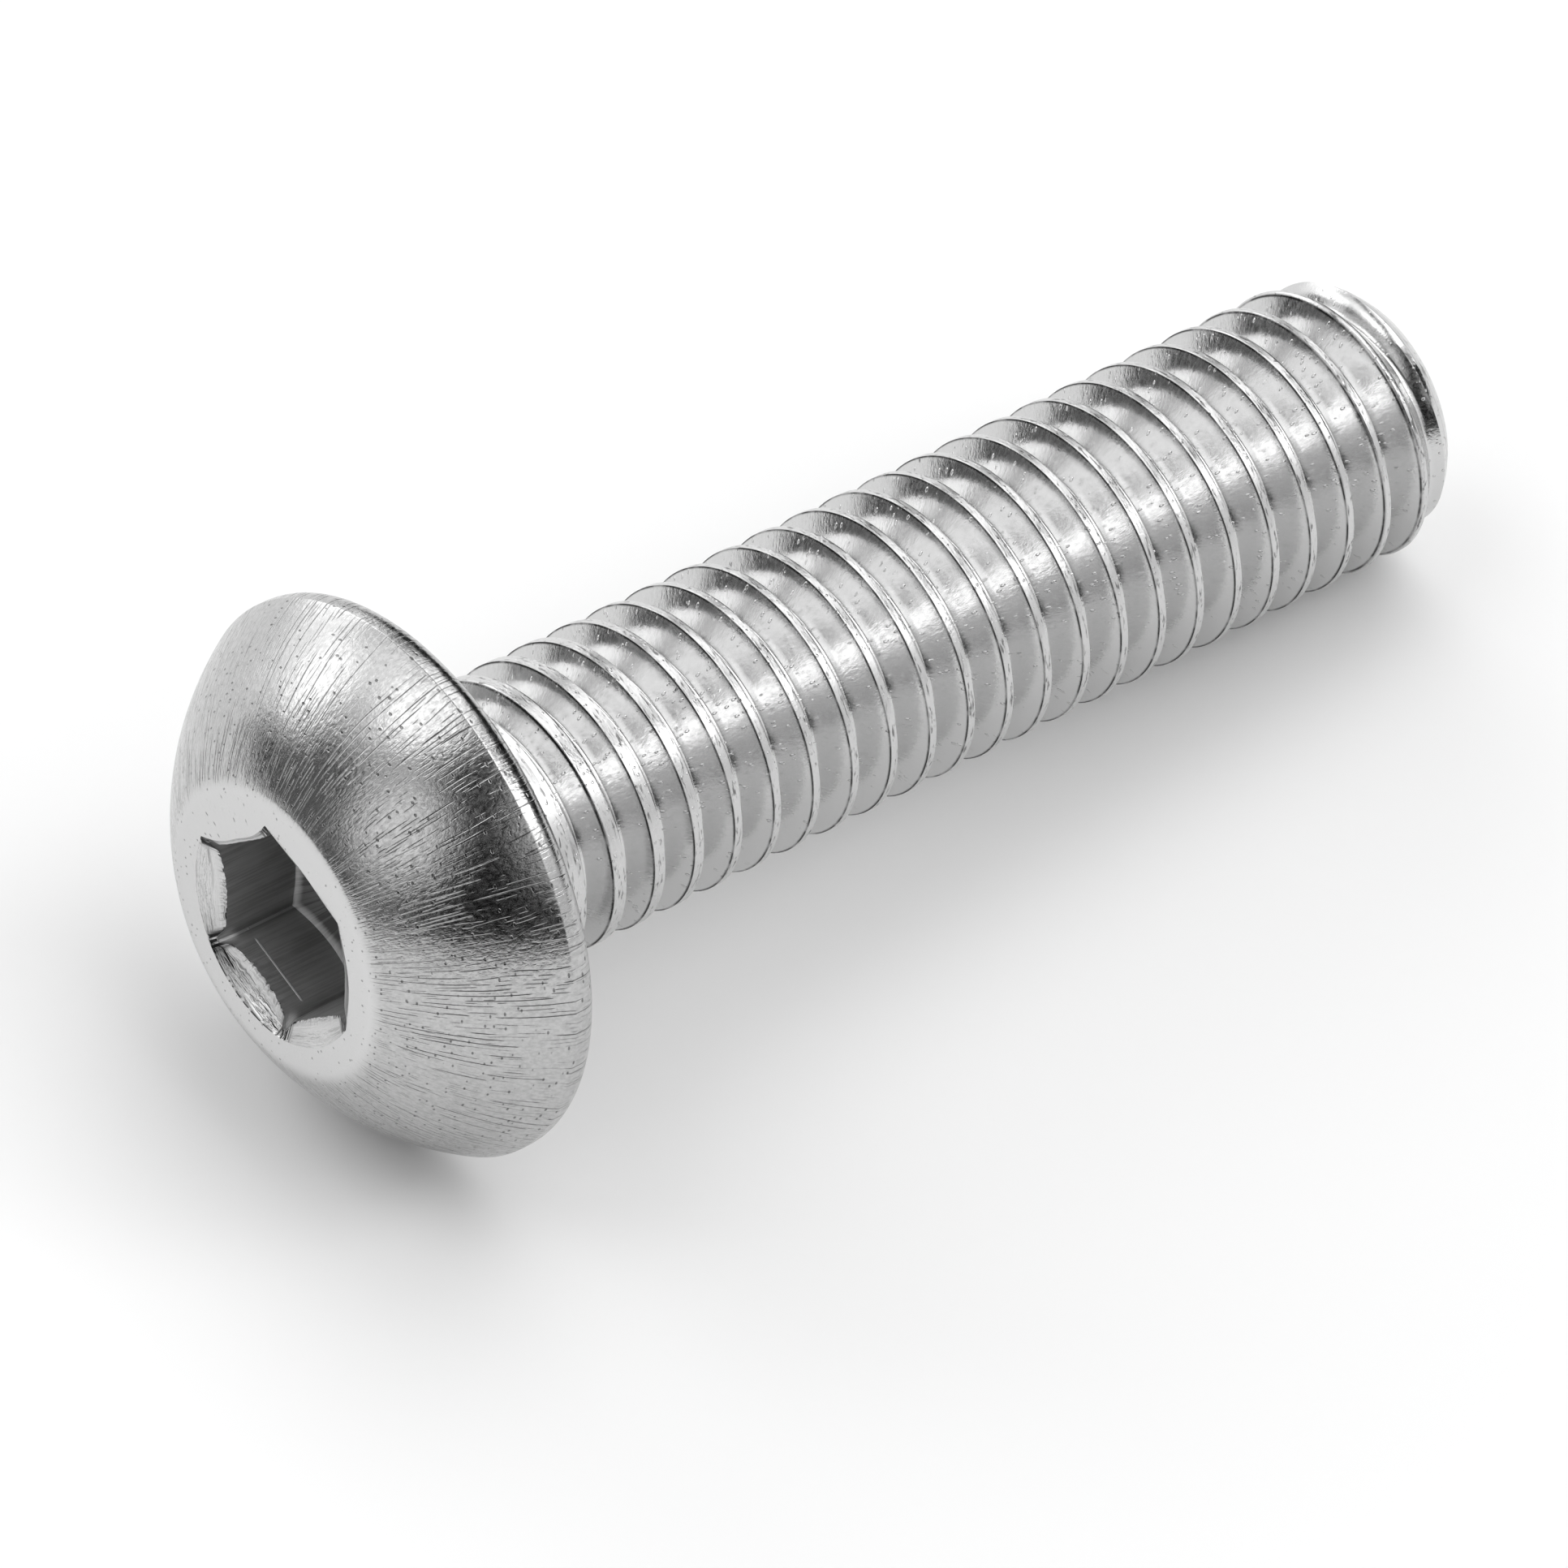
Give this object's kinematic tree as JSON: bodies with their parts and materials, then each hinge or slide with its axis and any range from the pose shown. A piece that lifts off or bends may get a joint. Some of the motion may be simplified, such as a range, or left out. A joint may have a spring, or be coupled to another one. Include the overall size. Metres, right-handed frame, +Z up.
{
  "type": "button head screw",
  "caption": "Hexagon socket button head screw with a domed low head and a machine thread rolled up to the head, lying on its side.",
  "frame": {"origin": "bottom centre of the bounding box, on the surface that the screw lies on", "axes": "+X the way the threaded end points, seen from above; +Z up; the screw's own axis dips 7 degrees towards +X"},
  "size_m": [0.0228, 0.0094, 0.0094],
  "materials": {
    "steel": "satin, cold-headed and thread-rolled stainless steel"
  },
  "bodies": {
    "root": {"button_head_screw": "steel"}
  },
  "joints": []
}
